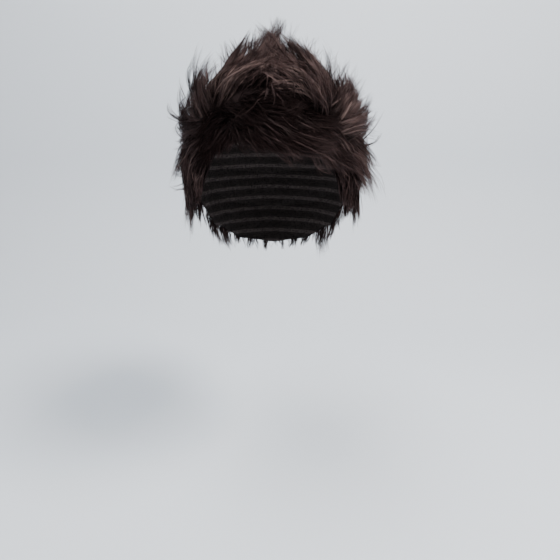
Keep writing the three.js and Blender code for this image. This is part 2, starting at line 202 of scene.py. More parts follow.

# How the hair is combed at a level and between two azimuths. A row with a reach is combed that share of
# the way up to the ridge, with a bulge outwards. Any other has a length, in metres, and a lean at the
# root and at the tip. A tone is added to the hair's own: these tones are painted light and shade, darker
# in the recess under the crest's front, over the fringe's roots and on the wearer's right, lighter on the
# slopes that rise to the crest and on the wearer's left. A depth is the share of the dense hair's depth
# that the strands take up.
COMBED = {
    "crest_hair": (
        {"level": 8, "from": -180, "to": 180, "reach": 0.9, "bulge": 0.1},
        {"level": 28, "from": -36, "to": 36, "reach": 0.95, "bulge": 0.15},
        {"level": 28, "from": 50, "to": 112, "reach": 0.95, "bulge": 1.35},
        {"level": 28, "from": -112, "to": -50, "reach": 0.95, "bulge": 0.6},
        {"level": 28, "from": 130, "to": 152, "length": 0.048,
         "root": lean(lift=0.7, sweep=0.3, fall=0.4), "tip": lean(sweep=0.2, fall=1, lift=0.1)},
        {"level": 28, "from": 208, "to": 230, "length": 0.048,
         "root": lean(lift=0.7, sweep=-0.3, fall=0.4), "tip": lean(sweep=-0.2, fall=1, lift=0.1)},
        {"level": 28, "from": 166, "to": 194, "length": 0.050,
         "root": lean(lift=0.8, fall=0.4), "tip": lean(fall=1, lift=0.1)},
        # Painted light: lighter tones on the slopes that rise to the crest's front.
        {"level": 38, "from": -24, "to": 26, "reach": 0.92, "bulge": 0.2, "tone": 0.15},
        {"level": 46, "from": 25, "to": 64, "reach": 0.97, "bulge": 0.4, "tone": 0.3},
        {"level": 46, "from": -64, "to": -30, "reach": 0.97, "bulge": 0.35, "tone": 0.5},
        {"level": 48, "from": 76, "to": 112, "reach": 0.80, "bulge": 1.7},
        {"level": 48, "from": -112, "to": -76, "reach": 0.78, "bulge": 0.5},
        # Painted shade: these two rows are darkened almost to black for the shade in the recess under the
        # crest's front.
        {"level": 45, "from": -16, "to": 15, "length": 0.024, "tone": -0.8, "depth": 0.3,
         "root": lean(lift=0.3, sweep=0.8, rise=0.2), "tip": lean(sweep=1, fall=0.2)},
        {"level": 50, "from": -18, "to": 16, "length": 0.030, "tone": -1.0, "depth": 0.2,
         "root": lean(lift=0.1, sweep=0.5, fall=0.8), "tip": lean(sweep=0.9, fall=0.5)},
        {"level": 48, "from": 126, "to": 148, "length": 0.050,
         "root": lean(lift=0.5, sweep=0.5, fall=0.5), "tip": lean(sweep=0.3, fall=0.9)},
        {"level": 48, "from": 212, "to": 234, "length": 0.050,
         "root": lean(lift=0.5, sweep=-0.5, fall=0.5), "tip": lean(sweep=-0.3, fall=0.9)},
        {"level": 47, "from": 160, "to": 200, "length": 0.054,
         "root": lean(lift=0.5, fall=0.8), "tip": lean(fall=1)},
    ),
    "fringe_hair": (
        # Painted light: lighter tones on the fringe's flanks, where its hair rises to the crest.
        {"level": 57, "from": 31, "to": 45, "reach": 0.8, "bulge": 0.7, "tone": 0.8},
        {"level": 54, "from": -45, "to": -30, "reach": 0.9, "bulge": 0.4, "tone": 0.3},
        # Painted shade: the upper rows, over the fringe's roots, are darkened almost to black for the shade
        # of the recess.
        {"level": 55, "from": -24, "to": 24, "length": 0.036, "tone": -0.9, "depth": 0.3,
         "root": lean(lift=0.1, sweep=0.8, fall=0.4), "tip": lean(lift=-0.15, sweep=1, fall=0.2)},
        {"level": 60, "from": -22, "to": 34, "length": 0.042, "tone": -0.9, "depth": 0.6,
         "root": lean(lift=0.2, sweep=0.8, fall=0.6), "tip": lean(lift=-0.2, sweep=1, fall=0.15)},
        {"level": 65, "from": -14, "to": 2, "length": 0.054, "tone": -0.1,
         "root": lean(lift=0.3, sweep=0.6, fall=1), "tip": lean(lift=-0.4, sweep=1, fall=0.05)},
        {"level": 65, "from": 2, "to": 20, "length": 0.050, "tone": -0.05,
         "root": lean(lift=0.3, sweep=0.6, fall=1), "tip": lean(lift=-0.4, sweep=1, fall=0.05)},
        {"level": 65, "from": 20, "to": 38, "length": 0.042, "tone": -0.05,
         "root": lean(lift=0.3, sweep=0.6, fall=0.9), "tip": lean(lift=-0.4, sweep=1, fall=0.1)},
        # Painted shade: darker tones at the wearer's right temple, by the face's edge.
        {"level": 65, "from": -26, "to": -16, "length": 0.019, "tone": -0.6, "depth": 0.4,
         "root": lean(lift=0.15, fall=1, sweep=-0.1), "tip": lean(lift=-0.4, fall=1, sweep=0.1)},
        {"level": 66, "from": -36, "to": -30, "length": 0.025, "tone": -0.6, "depth": 0.4,
         "root": lean(lift=0.1, fall=0.9, sweep=-0.5), "tip": lean(lift=-0.3, fall=1, sweep=-0.5)},
        {"level": 60, "from": -45, "to": -34, "length": 0.036, "tone": -0.9, "depth": 0.5,
         "root": lean(lift=0.15, fall=0.6, sweep=-0.8), "tip": lean(lift=-0.1, fall=0.9, sweep=-0.6)},
        {"level": 70, "from": -45, "to": -34, "length": 0.028, "tone": -0.5, "depth": 0.6,
         "root": lean(lift=0.1, fall=0.8, sweep=-0.7), "tip": lean(lift=-0.2, fall=1, sweep=-0.5)},
        {"level": 74, "from": 40, "to": 45, "length": 0.026,
         "root": lean(lift=0.15, fall=0.7, sweep=0.8), "tip": lean(lift=-0.1, fall=0.9, sweep=0.5)},
    ),
    "left_side_hair": (
        # Painted light: the wearer's left, on the key lamp's side, is mostly a little lighter.
        {"level": 54, "from": 45, "to": 76, "length": 0.048, "tone": -0.1,
         "root": lean(lift=0.8, rise=0.6, sweep=0.2), "tip": lean(rise=0.8, gather=0.8, sweep=0.3)},
        {"level": 54, "from": 88, "to": 117, "length": 0.050,
         "root": lean(lift=0.7, rise=0.5, sweep=0.6), "tip": lean(rise=0.5, gather=0.6, sweep=0.9)},
        {"level": 62, "from": 45, "to": 117, "length": 0.048, "tone": 0.1,
         "root": lean(lift=0.6, sweep=0.8, rise=0.3), "tip": lean(lift=0.1, sweep=1, fall=0.1)},
        {"level": 69, "from": 45, "to": 117, "length": 0.046, "tone": 0.15,
         "root": lean(lift=0.4, sweep=0.8, fall=0.5), "tip": lean(lift=-0.05, sweep=0.6, fall=0.8)},
        {"level": 77, "from": 45, "to": 117, "length": 0.038, "tone": 0.1,
         "root": lean(lift=0.12, fall=1, sweep=0.2), "tip": lean(lift=-0.2, fall=1, sweep=0.1)},
    ),
    "right_side_hair": (
        # Painted shade: the wearer's right, away from the key lamp, is darker.
        {"level": 54, "from": -76, "to": -45, "length": 0.048, "tone": -0.25,
         "root": lean(lift=0.45, rise=0.8, sweep=-0.2), "tip": lean(rise=0.9, gather=1.0, sweep=-0.4)},
        {"level": 54, "from": -117, "to": -88, "length": 0.048, "tone": -0.2,
         "root": lean(lift=0.5, rise=0.5, sweep=-0.6), "tip": lean(rise=0.5, gather=0.7, sweep=-0.9)},
        {"level": 62, "from": -117, "to": -45, "length": 0.048, "tone": -0.15,
         "root": lean(lift=0.3, sweep=-0.8, rise=0.3), "tip": lean(sweep=-1, fall=0.1)},
        {"level": 69, "from": -117, "to": -45, "length": 0.046,
         "root": lean(lift=0.2, sweep=-0.8, fall=0.5), "tip": lean(lift=-0.1, sweep=-0.6, fall=0.8)},
        {"level": 77, "from": -117, "to": -45, "length": 0.036,
         "root": lean(lift=0.10, fall=1, sweep=-0.2), "tip": lean(lift=-0.15, fall=1, sweep=-0.1)},
    ),
    "left_sideburn": (
        {"level": 84, "from": 45, "to": 81, "length": 0.020,
         "root": lean(lift=0.25, fall=1), "tip": lean(lift=-0.15, fall=1)},
        {"level": 104, "from": 45, "to": 81, "length": 0.005,
         "root": lean(lift=0.2, fall=1), "tip": lean(lift=-0.15, fall=1)},
    ),
    "right_sideburn": (
        {"level": 84, "from": -81, "to": -45, "length": 0.020,
         "root": lean(lift=0.4, fall=1), "tip": lean(lift=-0.15, fall=1)},
        {"level": 104, "from": -81, "to": -45, "length": 0.005,
         "root": lean(lift=0.2, fall=1), "tip": lean(lift=-0.15, fall=1)},
    ),
    "back_hair": (
        {"level": 58, "from": 117, "to": 132, "length": 0.050,
         "root": lean(lift=0.45, sweep=0.8, fall=0.4), "tip": lean(sweep=0.5, fall=0.9)},
        {"level": 58, "from": 228, "to": 243, "length": 0.050,
         "root": lean(lift=0.45, sweep=-0.8, fall=0.4), "tip": lean(sweep=-0.5, fall=0.9)},
        {"level": 62, "from": 142, "to": 218, "length": 0.056,
         "root": lean(lift=0.4, fall=0.85), "tip": lean(fall=1)},
        {"level": 76, "from": 117, "to": 243, "length": 0.052,
         "root": lean(lift=0.35, fall=0.9), "tip": lean(fall=1)},
    ),
    "nape_hair": (
        {"level": 86, "from": 81, "to": 279, "length": 0.048,
         "root": lean(lift=0.3, fall=0.9), "tip": lean(lift=-0.1, fall=1)},
        {"level": 104, "from": 81, "to": 112, "length": 0.022,
         "root": lean(lift=0.15, fall=1), "tip": lean(lift=-0.1, fall=1)},
        {"level": 104, "from": 248, "to": 279, "length": 0.022,
         "root": lean(lift=0.15, fall=1), "tip": lean(lift=-0.1, fall=1)},
        {"level": 118, "from": 130, "to": 230, "length": 0.032,
         "root": lean(lift=0.2, fall=1), "tip": lean(lift=-0.1, fall=1)},
        {"level": 136, "from": 130, "to": 230, "length": 0.016,
         "root": lean(lift=0.15, fall=1), "tip": lean(lift=-0.1, fall=1)},
    ),
}

# Loose wisps that stand clear of the rest: where they are rooted, how many there are and of how many
# streaks, how many degrees their roots are spread, how closely their tips gather, and how they are
# combed. Some rows also say what the others take from FLICK: how many degrees their streaks are spread,
# how loose they are, and their tone. Some of these tones are painted light and shade: lighter on the
# fringe's flank, darker on the wearer's right. Their sizes vary in a range.
FLICK = {"width": 1.6, "loose": 0.12, "tone": 0.35}
FLICK_SIZES = (0.75, 1.1)
FLICKS = {
    "crest_hair": (
        {"azimuth": -6, "level": 9, "wisps": 4, "streaks": 12, "spread": 1, "draw": 0.95,
         "width": 4, "loose": 0.03,
         "length": 0.037, "root": lean(rise=1), "tip": lean(rise=1, sweep=0.55)},
        {"azimuth": -3, "level": 43, "wisps": 3, "streaks": 1, "spread": 2, "draw": 0.7, "tone": 0.3,
         "length": 0.030, "root": lean(lift=0.7, fall=0.7), "tip": lean(fall=1, sweep=-0.3)},
        {"azimuth": 5, "level": 43, "wisps": 3, "streaks": 1, "spread": 2, "draw": 0.7, "tone": 0.3,
         "length": 0.036, "root": lean(lift=0.7, fall=0.7), "tip": lean(fall=1, sweep=0.7)},
        {"azimuth": -75, "level": 26, "wisps": 14, "streaks": 3, "spread": 8, "draw": 0.6,
         "length": 0.033, "root": lean(rise=1), "tip": lean(rise=0.5, lift=1)},
        {"azimuth": 80, "level": 26, "wisps": 16, "streaks": 1, "spread": 9, "draw": 0.6,
         "length": 0.037, "root": lean(rise=1, lift=0.3), "tip": lean(rise=0.2, lift=1)},
        {"azimuth": 80, "level": 46, "wisps": 14, "streaks": 1, "spread": 8, "draw": 0.5,
         "length": 0.040, "root": lean(lift=0.9, rise=0.6), "tip": lean(rise=1, lift=0.2)},
    ),
    "fringe_hair": (
        {"azimuth": -8, "level": 56, "wisps": 3, "streaks": 1, "spread": 6, "draw": 0.6, "tone": 0.15,
         "length": 0.038,
         "root": lean(lift=0.4, fall=0.9, sweep=-0.6), "tip": lean(lift=-0.2, fall=0.6, sweep=-1)},
        # Painted light: a lighter tone on the fringe's flank.
        {"azimuth": 38, "level": 57, "wisps": 18, "streaks": 4, "spread": 3, "draw": 0.6, "tone": 0.5,
         "length": 0.044, "root": lean(lift=0.8, rise=0.6), "tip": lean(rise=1, gather=1.6, lift=-0.2)},
    ),
    "left_side_hair": (
        {"azimuth": 84, "level": 64, "wisps": 7, "streaks": 6, "spread": 4, "draw": 0.85,
         "length": 0.038, "root": lean(lift=0.8, rise=0.5), "tip": lean(rise=1, lift=0.3)},
        {"azimuth": 82, "level": 58, "wisps": 18, "streaks": 3, "spread": 6, "draw": 0.5,
         "length": 0.032, "root": lean(lift=0.9, rise=0.6), "tip": lean(lift=0.5, fall=0.9)},
        {"azimuth": 87, "level": 67, "wisps": 14, "streaks": 2, "spread": 5, "draw": 0.6,
         "length": 0.040, "root": lean(lift=1, rise=0.1), "tip": lean(rise=1, lift=0.2)},
        {"azimuth": 88, "level": 72, "wisps": 12, "streaks": 2, "spread": 8, "draw": 0.8,
         "length": 0.050, "root": lean(lift=0.9, fall=0.6), "tip": lean(lift=-0.5, fall=1)},
        {"azimuth": 88, "level": 80, "wisps": 8, "streaks": 1, "spread": 8, "draw": 0.7,
         "length": 0.036, "root": lean(lift=0.4, fall=1), "tip": lean(lift=0.8, fall=0.5)},
        {"azimuth": 84, "level": 55, "wisps": 18, "streaks": 3, "spread": 6, "draw": 0.6,
         "length": 0.036, "root": lean(lift=0.4, rise=1), "tip": lean(lift=1, rise=0.2)},
        {"azimuth": 80, "level": 54, "wisps": 18, "streaks": 4, "spread": 6, "draw": 0.6,
         "length": 0.038, "root": lean(lift=0.3, rise=1), "tip": lean(rise=1, gather=0.8)},
        {"azimuth": 86, "level": 66, "wisps": 12, "streaks": 3, "spread": 4, "draw": 0.6,
         "length": 0.034, "root": lean(lift=1, rise=0.2), "tip": lean(rise=1, lift=0.1)},
    ),
    "right_side_hair": (
        # Painted shade: darker tones on the wearer's right.
        {"azimuth": -82, "level": 57, "wisps": 16, "streaks": 6, "spread": 7, "draw": 0.9, "tone": 0.15,
         "length": 0.060, "root": lean(lift=1, rise=0.2), "tip": lean(rise=1, gather=1.6)},
        {"azimuth": -86, "level": 66, "wisps": 9, "streaks": 2, "spread": 4, "draw": 0.6, "tone": 0.12,
         "length": 0.054, "root": lean(lift=1), "tip": lean(rise=1, gather=0.9)},
        {"azimuth": -82, "level": 54, "wisps": 12, "streaks": 3, "spread": 5, "draw": 0.7, "tone": 0.2,
         "length": 0.044, "root": lean(lift=0.7, rise=0.8), "tip": lean(rise=1, gather=1.2)},
    ),
    "right_sideburn": (
        {"azimuth": -78, "level": 90, "wisps": 4, "streaks": 1, "spread": 6, "draw": 0.3,
         "length": 0.028, "root": lean(lift=0.7, fall=0.6), "tip": lean(lift=0.9, rise=0.3)},
    ),
}

# Linear colours of the hair by tone, and what they are multiplied by along a strand, from the root: a
# painted shade that darkens the root, deep in the hair, and lightens to the tip. The darkest hair, both at
# random and where it is darkened as painted shade, has less gloss.
HAIR_TONES = (
    (0.0, (0.008, 0.0045, 0.0045)),
    (0.4, (0.042, 0.026, 0.025)),
    (0.75, (0.098, 0.064, 0.060)),
    (1.0, (0.172, 0.119, 0.107)),
)
HAIR_ROOT_SHADE = ((0.0, (0.3, 0.3, 0.3)), (0.4, (0.85, 0.85, 0.85)), (1.0, (1.2, 1.15, 1.15)))
HAIR_GLOSS = {"hair_fibre": 0.10, "hair_darkest_and_shaded": 0.04}

# Linear colours of the cap's net, from its cords to its holes, what they are multiplied by across a sewn
# row, and the one near-black colour that it has under the hair: the roots' colour with painted shade.
NET_CORDS = ((0.0, (0.090, 0.074, 0.070)), (0.12, (0.060, 0.049, 0.047)), (0.3, (0.016, 0.013, 0.013)))
NET_BANDS = ((0.0, (0.35, 0.35, 0.35)), (0.72, (0.45, 0.45, 0.45)), (0.84, (1.0, 1.0, 1.0)))
ROOTS_AND_SHADE_UNDER_HAIR = (0.010, 0.006, 0.006, 1.0)

# The photograph's camera: its sensor in millimetres, its focal length and the picture's width in pixels,
# its place in metres and its tilt in degrees.
SENSOR = 36.0
FOCAL_PIXELS = 440
PHOTO_PIXELS = 560
CAMERA_PLACE = (0.0076, -0.440, -0.063)
CAMERA_TILT = 17.5

# The studio, in metres: the floor's height, the wall's place along Y, the bend between them and how far
# they reach.
FLOOR = -0.45
WALL = 0.75
BEND = 0.35
BEND_STEPS = 12
STUDIO_REACH = 3.0
PAPER_TINTS = ((0.3, (0.65, 0.69, 0.74)), (0.7, (0.68, 0.72, 0.77)))

# Each lamp's place and aim, size, power and colour.
LAMPS = {
    "key": ((0.8, -0.45, 1.05), (0, 0, 0), 0.45, 40.0, (1.0, 0.97, 0.94)),
    "top": ((-0.25, -0.2, 1.25), (0, 0, 0), 0.8, 20.0, (1.0, 1.0, 1.0)),
    "fill": ((-0.9, -0.9, 0.3), (0, 0, -0.05), 1.0, 3.5, (0.95, 0.97, 1.0)),
}


def table_value(table, place):
    """The value of a two-column table at each place."""
    columns = np.array(table, float)
    return np.interp(place, columns[:, 0], columns[:, 1])


def wrapped(azimuth):
    """An azimuth in degrees as -180 to 180."""
    return (np.asarray(azimuth, float) + 180) % 360 - 180


def edge_level(azimuth):
    """Degrees down from the crown to the cap's edge."""
    return table_value(CAP_EDGE, np.abs(wrapped(azimuth)))


def unit(vectors):
    """Vectors that point the same way and have a length of 1."""
    return vectors / np.maximum(np.linalg.norm(vectors, axis=-1, keepdims=True), TINY)


def head_point(azimuth, level, offset):
    """The point at an azimuth, so many degrees down from the crown and so far off the head's surface."""
    turn = np.radians(azimuth)
    upper = np.radians(np.minimum(level, 90))
    below = np.radians(np.maximum(level - 90, 0))
    reach = np.where(np.cos(turn) > 0, REACH_FRONT, REACH_BACK)
    breadth = (HALF_BREADTH * (1 - BREADTH_DRAW * below**2) + offset) * np.sin(upper)
    length = (reach * (1 - LENGTH_DRAW * below**2) + offset) * np.sin(upper)
    height = (CROWN + offset) * np.cos(upper) - CROWN * (1 + below)
    return np.stack([breadth * np.sin(turn), -length * np.cos(turn), height], -1)


def head_axes(azimuth, level):
    """Unit vectors down the scalp, round it and out of it."""
    step = 0.5
    down = unit(head_point(azimuth, level + step, 0.0) - head_point(azimuth, level - step, 0.0))
    around = unit(head_point(azimuth + step, level, 0.0) - head_point(azimuth - step, level, 0.0))
    return down, around, unit(np.cross(down, around))


def kept_off(points, clearance):
    """Moves points that are nearer to the head than their clearance straight out from the head's middle."""
    below = np.maximum(-(points[..., 2] + CROWN) / CROWN, 0)
    breadth = HALF_BREADTH * (1 - BREADTH_DRAW * below**2)
    reach = np.where(points[..., 1] < 0, REACH_FRONT, REACH_BACK) * (1 - LENGTH_DRAW * below**2)
    height = np.maximum(points[..., 2] + CROWN, 0)
    from_axis = np.stack([points[..., 0], points[..., 1], height], -1)
    shares = from_axis / np.stack([breadth, reach, np.full_like(reach, CROWN)], -1)
    share = np.sqrt(shares[..., 0] ** 2 + shares[..., 1] ** 2 + shares[..., 2] ** 2)
    distance = np.maximum(np.linalg.norm(from_axis, axis=-1), TINY)
    offset = distance * (1 - 1 / np.maximum(share, TINY))
    push = np.maximum(clearance - offset, 0) / distance
    return points + from_axis * push[..., None]


def spread_over(section, count, seed):
    """Places spread evenly over a section's scalp: azimuths and levels."""
    rank = np.arange(count) + seed
    across = (rank * EVEN_STEPS[0]) % 1
    along = (rank * EVEN_STEPS[1]) % 1
    azimuth = section["from"] + (section["to"] - section["from"]) * across
    if section["bottom"] is None:
        along = 1 - (1 - along) ** EDGE_CROWDING
        bottom = edge_level(azimuth)
    else:
        bottom = np.full(count, section["bottom"], float)
    top = np.cos(np.radians(section["top"]))
    foot = np.cos(np.radians(bottom))
    return azimuth, np.degrees(np.arccos(top + (foot - top) * along))


def scattered(rng, azimuth, level, spread):
    """Places near the given ones, spread by so many degrees of the crown's arc and kept on the cap."""
    turn = np.radians(azimuth)
    east = level * np.sin(turn) + rng.normal(0, spread, len(level))
    north = level * np.cos(turn) + rng.normal(0, spread, len(level))
    azimuth = np.degrees(np.arctan2(east, north))
    return azimuth, np.minimum(np.hypot(east, north), edge_level(azimuth) - EDGE_MARGIN)


def direction(leaning, azimuth, level):
    """A lean as unit vectors in the frame, at each place."""
    lift, fall, sweep, rise, gather = leaning
    down, around, out = head_axes(azimuth, level)
    vector = lift * out + fall * down + sweep * around
    vector[:, 2] += rise
    vector[:, 0] -= gather * head_point(azimuth, level, 0.0)[:, 0] / HALF_BREADTH
    return unit(vector)


def way_to_ridge(root):
    """The vectors from roots to where hair that is combed all the way up to the ridge ends."""
    along = np.where(root[:, 1] < 0, root[:, 1] * FRONT_DRAW, root[:, 1] * BACK_SPREAD)
    along = np.maximum(along + ASIDE_DRAW * np.maximum(np.abs(root[:, 0]) - ASIDE, 0), RIDGE[0][0])
    aside = table_value(RIDGE_SPREAD, along) * np.maximum(root[:, 0], LEFT_FULLNESS * root[:, 0])
    return np.stack([aside, along, table_value(RIDGE, along) - ROOF_SLOPE * np.abs(aside)], -1) - root


def row_curve(row, azimuth, level):
    """The vectors along which a row's strands leave their roots and reach their tips, of their length."""
    if "length" in row:
        start = direction(row["root"], azimuth, level) * row["length"]
        return start, direction(row["tip"], azimuth, level) * row["length"]
    way = row["reach"] * way_to_ridge(head_point(azimuth, level, CAP_OUTSIDE))
    length = ARC * np.linalg.norm(way, axis=-1, keepdims=True)
    start = unit(unit(way) + row["bulge"] * head_axes(azimuth, level)[2]) * length
    return start, 2 * way - start


def combing(rng, name, azimuth, level, picked=None):
    """How hair is combed at each place of a section: vectors at root and tip, tone with its painted light
    and shade, depth and row.

    A row is picked by how near it is, unless it is given, and mixed with those combed much the same way.
    """
    rows = COMBED[name]
    weights = []
    for row in rows:
        middle = (row["from"] + row["to"]) / 2
        half = (row["to"] - row["from"]) / 2
        turn = np.maximum(np.abs(wrapped(azimuth - middle)) - half, 0)
        away = turn * np.sin(np.radians(np.maximum(level, SPREADING_LEVEL)))
        weights.append(np.exp(-((away**2 + (level - row["level"]) ** 2) / LEAN_MIX**2)) + TINY)
    weights = np.array(weights)
    if picked is None:
        picked = (np.log(weights) + rng.gumbel(0, ROW_CHANCE, weights.shape)).argmax(0)
    starts, ends = (np.array(parts) for parts in zip(*(row_curve(row, azimuth, level) for row in rows)))
    ways = unit(starts + ends)
    agreeing = (ways * ways[picked, np.arange(len(level))]).sum(-1) > SAME_WAY
    weights = weights * agreeing
    weights = weights / weights.sum(0)
    tone = weights.T @ np.array([row.get("tone", 0.0) for row in rows])
    depth = weights.T @ np.array([row.get("depth", 1.0) for row in rows])
    start = (weights[..., None] * starts).sum(0)
    end = (weights[..., None] * ends).sum(0)
    return start, end, tone, depth, picked


def curves(azimuth, level, start, end):
    """Points of strands at the stations: each leaves its root along start and turns evenly to end."""
    turned = (STATIONS**2 / 2)[None, :, None]
    root = head_point(azimuth, level, CAP_OUTSIDE)[:, None]
    return root + (STATIONS[None, :, None] - turned) * start[:, None] + turned * end[:, None]


def drawn(points, guide, amount):
    """Draws strands to their guides, by nothing at the root and by the amount at the tip."""
    share = (amount * STATIONS[None, :] ** DRAW_POWER)[..., None]
    return points * (1 - share) + guide * share


def sideways(rng, out, size):
    """Random vectors that lie mostly along the scalp, so that strands stray aside and keep their layers."""
    vectors = rng.normal(0, 1, out.shape)
    return (vectors - SCALP_HUG * (vectors * out).sum(-1, keepdims=True) * out) * size


def waved(rng, points, out, size):
    """Strands with a loose wave across them that grows towards the tips, of this size on a long strand."""
    count = len(points)
    reach = np.linalg.norm(points[:, -1] - points[:, 0], axis=-1, keepdims=True)
    across = sideways(rng, out, size * np.minimum(reach / LONG_STRAND, MOST_WAVE))
    turns = rng.uniform(*WAVE_TURNS, (count, 1))
    start = rng.uniform(0, 1, (count, 1))
    wave = np.sin(2 * np.pi * (turns * STATIONS[None, :] + start)) - np.sin(2 * np.pi * start)
    return points + across[:, None] * (wave * STATIONS[None, :])[..., None]


def split(rng, guides, azimuth, level, parts, manner, stray_share=0.0):
    """Splits each guide into finer ones. Gives their points, their roots' places, and which are strays."""
    guide_of = np.repeat(np.arange(len(guides)), parts)
    count = len(guide_of)
    azimuth, level = scattered(rng, azimuth[guide_of], level[guide_of], manner["spread"])
    root = head_point(azimuth, level, CAP_OUTSIDE)
    points = guides[guide_of] + (root - guides[guide_of, 0])[:, None]
    stray = rng.random(count) < stray_share
    amount = manner["draw"] * (1 - STRAY_FREEDOM * stray) * rng.uniform(*DRAW_RANGE, count)
    points = drawn(points, guides[guide_of], amount[:, None])
    reach = np.linalg.norm(points[:, -1] - points[:, 0], axis=-1)
    out = head_axes(azimuth, level)[2]
    bend = sideways(rng, out, ((manner["bend"] + STRAY_BEND * stray) * reach)[:, None])
    points = points + bend[:, None] * (STATIONS**2)[None, :, None]
    points = waved(rng, points, out, manner["wave"] * (1 + stray[:, None]))
    short = 1 - rng.uniform(0, SHORTENING, count) ** 2
    points = root[:, None] + (points - root[:, None]) * short[:, None, None]
    return points, azimuth, level, stray


def fine_strands(rng, wisps, azimuth, level, streaks, tone, depth, streak=STREAK):
    """Strands of each wisp at the stations, each at its depth in the hair, with their tones and widths."""
    points, azimuth, level, stray = split(rng, wisps, azimuth, level, streaks, streak, STRAYS)
    tone = np.repeat(tone, streaks) + rng.normal(0, TONE_SPREAD["streak"], len(points))
    depth = np.repeat(depth, streaks) * table_value(ROOT_MASS, level) * rng.random(len(points))
    width = STRAND_WIDTH * rng.uniform(*WIDTH_RANGE, len(points)) * (1 - STRAY_THINNING * stray)
    points, _, _, _ = split(rng, points, azimuth, level, STRANDS_PER_STREAK, STRAND)
    tone = np.repeat(tone, STRANDS_PER_STREAK) + rng.normal(0, TONE_SPREAD["strand"], len(points))
    depth = np.repeat(depth, STRANDS_PER_STREAK)
    rise = np.minimum(STATIONS / MASS_RISE, 1)
    points = kept_off(points, CAP_OUTSIDE + depth[:, None] * rise[None, :])
    return points, tone, np.repeat(width, STRANDS_PER_STREAK)


def combed(rng, name, azimuth, level, loose, short, picked=None):
    """Locks or wisps as a section is combed at each place: points, tone, depth and the row picked."""
    start, end, tone, depth, picked = combing(rng, name, azimuth, level, picked)
    length = np.linalg.norm(start, axis=-1, keepdims=True)
    out = head_axes(azimuth, level)[2]
    start = start + sideways(rng, out, loose * length)
    end = end + sideways(rng, out, TIP_LOOSE * loose * length)
    size = 1 + rng.uniform(-short, LONGER * short, (len(level), 1))
    return curves(azimuth, level, start * size, end * size), tone, depth, picked


def body_strands(rng, name, seed):
    """The strands that cover a section, in wisps that are drawn together to locks."""
    section = SECTIONS[name]
    wisps = section["strands"] // (STRANDS_PER_STREAK * STREAKS_PER_WISP)
    locks = max(wisps // WISPS_PER_LOCK, 2)
    azimuth, level = spread_over(section, locks, seed)
    lock_points, _, _, lock_row = combed(rng, name, azimuth, level, section["tousle"], LOCK_SHORT)
    lock_points = waved(rng, lock_points, head_axes(azimuth, level)[2], LOCK_WAVE)

    azimuth, level = spread_over(section, wisps, seed + WISP_STEP)
    root = head_point(azimuth, level, CAP_OUTSIDE)
    lock_of = np.linalg.norm(root[:, None] - lock_points[None, :, 0], axis=-1).argmin(1)
    guides, tone, depth, _ = combed(rng, name, azimuth, level, WISP_LOOSE, WISP_SHORT, lock_row[lock_of])
    shift = guides[:, :1] - lock_points[lock_of, :1]
    guides = drawn(guides, lock_points[lock_of] + LOCK_SHIFT * shift, LOCK_DRAW)
    lifting = (rng.random(wisps) < LIFTED) * rng.uniform(*LIFT_RANGE, wisps) * section["lift_off"]
    out = head_axes(azimuth, level)[2]
    guides = guides + (lifting[:, None] * out)[:, None] * (STATIONS**3)[None, :, None]
    guides = waved(rng, guides, out, WAVE)
    tone = tone + rng.normal(TONE, TONE_SPREAD["lock"], locks)[lock_of]
    tone = tone + rng.normal(0, TONE_SPREAD["wisp"], wisps)
    return fine_strands(rng, guides, azimuth, level, STREAKS_PER_WISP, tone, depth)


def flick_strands(rng, row):
    """The strands of a row of loose wisps."""
    row = FLICK | row
    count = row["wisps"]
    azimuth = np.full(count, row["azimuth"], float)
    level = np.full(count, row["level"], float)
    azimuth, level = scattered(rng, azimuth, level, row["spread"])
    start, end = row_curve(row, azimuth, level)
    size = rng.uniform(*FLICK_SIZES, (count, 1))
    loose = row["loose"] * row["length"]
    start = start + rng.normal(0, 1, start.shape) * loose
    end = end + rng.normal(0, TIP_LOOSE, end.shape) * loose
    guides = curves(azimuth, level, start * size, end * size)
    guides = waved(rng, guides, head_axes(azimuth, level)[2], WAVE)
    tone = rng.normal(row["tone"], TONE_SPREAD["wisp"], count)
    manner = STREAK | {"spread": row["width"], "draw": row["draw"]}
    return fine_strands(rng, guides, azimuth, level, row["streaks"], tone, np.ones(count), manner)


def section_strands(name, seed):
    """Points of a section's strands at the stations, with each strand's tone and width."""
    rng = np.random.default_rng(seed)
    made = [body_strands(rng, name, seed)]
    for row in FLICKS.get(name, ()):
        made.append(flick_strands(rng, row))
    points, tone, width = (np.concatenate(parts) for parts in zip(*made))
    return points, np.clip(tone, 0, 1), width


def ribbons(points, width, seed):
    """Vertices of one tapered ribbon along each strand: two at every station and one at the tip."""
    rng = np.random.default_rng(seed)
    count = len(points)
    along = unit(np.gradient(points, axis=1))
    roll = unit(rng.normal(0, 1, (count, 3)))[:, None]
    side = unit(roll - (roll * along).sum(-1, keepdims=True) * along)
    belly = BELLY * np.sin(np.pi * np.minimum(STATIONS * BELLY_TURN, 1))
    taper = ROOT_WIDTH + belly - TIP_LOSS * STATIONS**2
    half = side * (0.5 * width[:, None] * taper[None, :])[..., None]
    pairs = np.stack([points[:, :-1] - half[:, :-1], points[:, :-1] + half[:, :-1]], 2)
    return np.concatenate([pairs.reshape(count, -1, 3), points[:, -1:]], 1)


def ribbon_map(tone):
    """Where the vertices of each ribbon lie on its map: the tone across, and root to tip along."""
    across = tone[:, None] * MAP_TONE + np.array(MAP_EDGES)[None, :]
    u = np.concatenate([np.tile(across, (1, len(STATIONS) - 1)), across.mean(1, keepdims=True)], 1)
    v = np.concatenate([np.repeat(STATIONS[:-1], 2), STATIONS[-1:]]) * MAP_LENGTH + MAP_START
    return np.stack([u, np.broadcast_to(v, u.shape)], -1).reshape(-1, 2)


